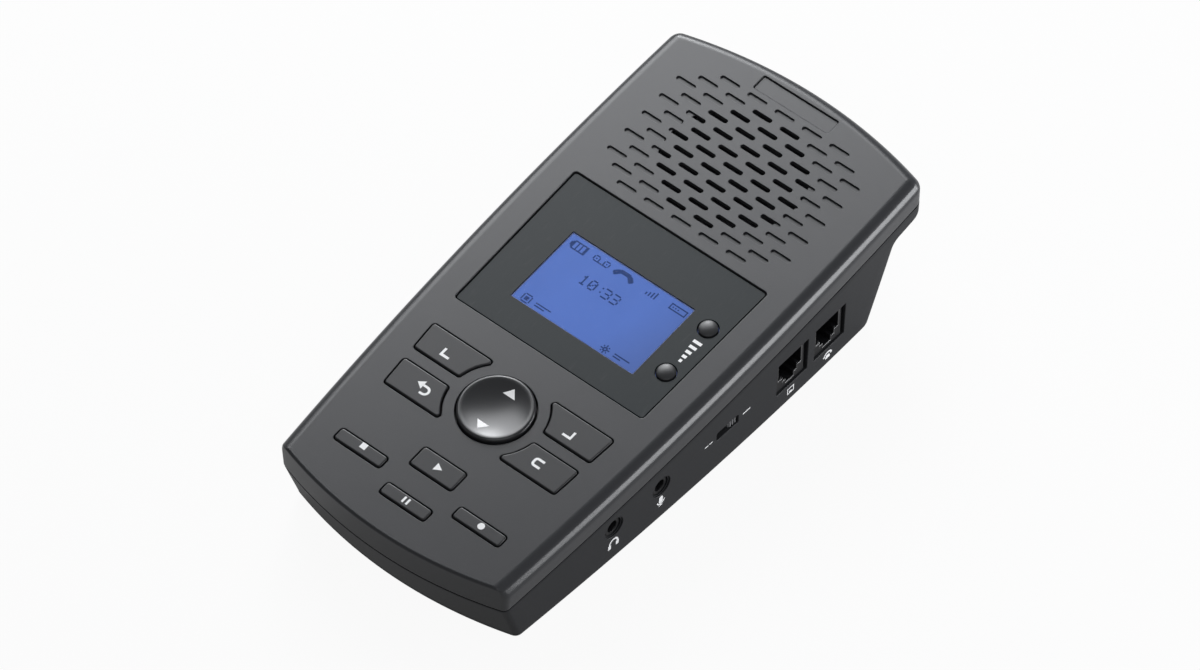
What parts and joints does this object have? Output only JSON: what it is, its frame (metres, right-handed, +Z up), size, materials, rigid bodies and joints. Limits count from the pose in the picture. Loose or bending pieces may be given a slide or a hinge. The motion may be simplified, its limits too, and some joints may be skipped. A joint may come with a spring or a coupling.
{
  "type": "telephone call recorder",
  "caption": "Wedge-shaped desk unit with a speaker grille, a display window, a key pad with a round rocker, and sockets along one side.",
  "frame": {"origin": "centre of the footprint box, on the plane the feet stand on", "axes": "+X to the right, +Y from the keys to the grille at the back, +Z up"},
  "size_m": [0.0904, 0.1878, 0.0446],
  "materials": {
    "upper_plastic": "fine matt texture",
    "lower_plastic": "fine matt texture",
    "window_plastic": "smooth satin",
    "lcd": "backlit blue",
    "dark_plastic": "satin",
    "socket_plastic": "semi-gloss",
    "white_plastic": "matt",
    "lens_plastic": "smooth",
    "board_laminate": "solder mask",
    "steel": "plated",
    "magnet": "dull",
    "cone_paper": "pressed paper",
    "mat_rubber": "matt silicone",
    "key_plastic": "satin",
    "nav_plastic": "satin gloss",
    "contact_gold": "gold plated",
    "knob_plastic": "satin",
    "card_plastic": "smooth",
    "cell_skin": "printed sleeve",
    "foot_rubber": "matt"
  },
  "bodies": {
    "case": {"top_shell": "upper_plastic", "bottom_shell": "lower_plastic", "display_window": "window_plastic", "lcd_glass": "lcd", "lcd_frame": "dark_plastic", "lcd_backlight": "white_plastic", "indicator_lens": "lens_plastic", "indicator_board": "board_laminate", "speaker_basket": "steel", "speaker_cone": "cone_paper", "speaker_magnet": "magnet", "speaker_clips": "steel", "key_board": "board_laminate", "main_board": "board_laminate", "board_cable": "white_plastic", "keypad_mat": "mat_rubber", "nav_pivot": "steel", "volume_switches": "dark_plastic", "phone_jack_line": "socket_plastic", "phone_jack_handset": "socket_plastic", "phone_jack_contacts": "contact_gold", "earphone_jack": "socket_plastic", "microphone_jack": "socket_plastic", "source_switch_body": "steel", "power_jack": "socket_plastic", "data_socket": "steel", "card_socket": "steel", "battery_cells": "cell_skin", "battery_contacts": "steel", "case_screws": "steel", "board_screws": "steel", "rubber_feet": "foot_rubber"},
    "key_soft_left_body": {"key_soft_left": "key_plastic"},
    "key_soft_right_body": {"key_soft_right": "key_plastic"},
    "key_back_body": {"key_back": "key_plastic"},
    "key_clear_body": {"key_clear": "key_plastic"},
    "key_stop_body": {"key_stop": "key_plastic"},
    "key_record_body": {"key_record": "key_plastic"},
    "key_play_body": {"key_play": "key_plastic"},
    "key_pause_body": {"key_pause": "key_plastic"},
    "nav_body": {"nav_rocker": "nav_plastic"},
    "key_volume_up_body": {"key_volume_up": "nav_plastic"},
    "key_volume_down_body": {"key_volume_down": "nav_plastic"},
    "switch_knob_body": {"source_switch_knob": "knob_plastic"},
    "card_body": {"memory_card": "card_plastic"},
    "door_body": {"battery_door": "lower_plastic"}
  },
  "joints": [
    {"name": "soft_left_press", "type": "slide", "parent": "case", "child": "key_soft_left_body", "axis": [0, 0.0958, -0.9954], "range_m": [0, 0.0009], "stiffness_N_per_m": 900, "springref_m": -0.0002},
    {"name": "soft_right_press", "type": "slide", "parent": "case", "child": "key_soft_right_body", "axis": [0, 0.0958, -0.9954], "range_m": [0, 0.0009], "stiffness_N_per_m": 900, "springref_m": -0.0002},
    {"name": "back_press", "type": "slide", "parent": "case", "child": "key_back_body", "axis": [0, 0.0958, -0.9954], "range_m": [0, 0.0009], "stiffness_N_per_m": 900, "springref_m": -0.0002},
    {"name": "clear_press", "type": "slide", "parent": "case", "child": "key_clear_body", "axis": [0, 0.0958, -0.9954], "range_m": [0, 0.0009], "stiffness_N_per_m": 900, "springref_m": -0.0002},
    {"name": "stop_press", "type": "slide", "parent": "case", "child": "key_stop_body", "axis": [0, 0.0958, -0.9954], "range_m": [0, 0.0009], "stiffness_N_per_m": 900, "springref_m": -0.0002},
    {"name": "record_press", "type": "slide", "parent": "case", "child": "key_record_body", "axis": [0, 0.0958, -0.9954], "range_m": [0, 0.0009], "stiffness_N_per_m": 900, "springref_m": -0.0002},
    {"name": "play_press", "type": "slide", "parent": "case", "child": "key_play_body", "axis": [0, 0.0958, -0.9954], "range_m": [0, 0.0009], "stiffness_N_per_m": 900, "springref_m": -0.0002},
    {"name": "pause_press", "type": "slide", "parent": "case", "child": "key_pause_body", "axis": [0, 0.0958, -0.9954], "range_m": [0, 0.0009], "stiffness_N_per_m": 900, "springref_m": -0.0002},
    {"name": "nav_tilt", "type": "hinge", "parent": "case", "child": "nav_body", "pos_m": [0, -0.04372, 0.02681], "axis": [1, 0, 0], "range_deg": [-3, 3], "stiffness_Nm_per_rad": 0.2},
    {"name": "volume_up_press", "type": "slide", "parent": "case", "child": "key_volume_up_body", "axis": [0, 0.0958, -0.9954], "range_m": [0, 0.0005], "stiffness_N_per_m": 1500, "springref_m": -0.0002},
    {"name": "volume_down_press", "type": "slide", "parent": "case", "child": "key_volume_down_body", "axis": [0, 0.0958, -0.9954], "range_m": [0, 0.0005], "stiffness_N_per_m": 1500, "springref_m": -0.0002},
    {"name": "source_switch_slide", "type": "slide", "parent": "case", "child": "switch_knob_body", "axis": [0, -1, 0], "range_m": [0, 0.005]},
    {"name": "memory_card_slide", "type": "slide", "parent": "case", "child": "card_body", "axis": [-1, 0, 0], "range_m": [0, 0.028]},
    {"name": "battery_door_swing", "type": "hinge", "parent": "case", "child": "door_body", "pos_m": [-0.0056, -0.0022, 0.0008], "axis": [1, 0, 0], "range_deg": [0, 20]}
  ]
}
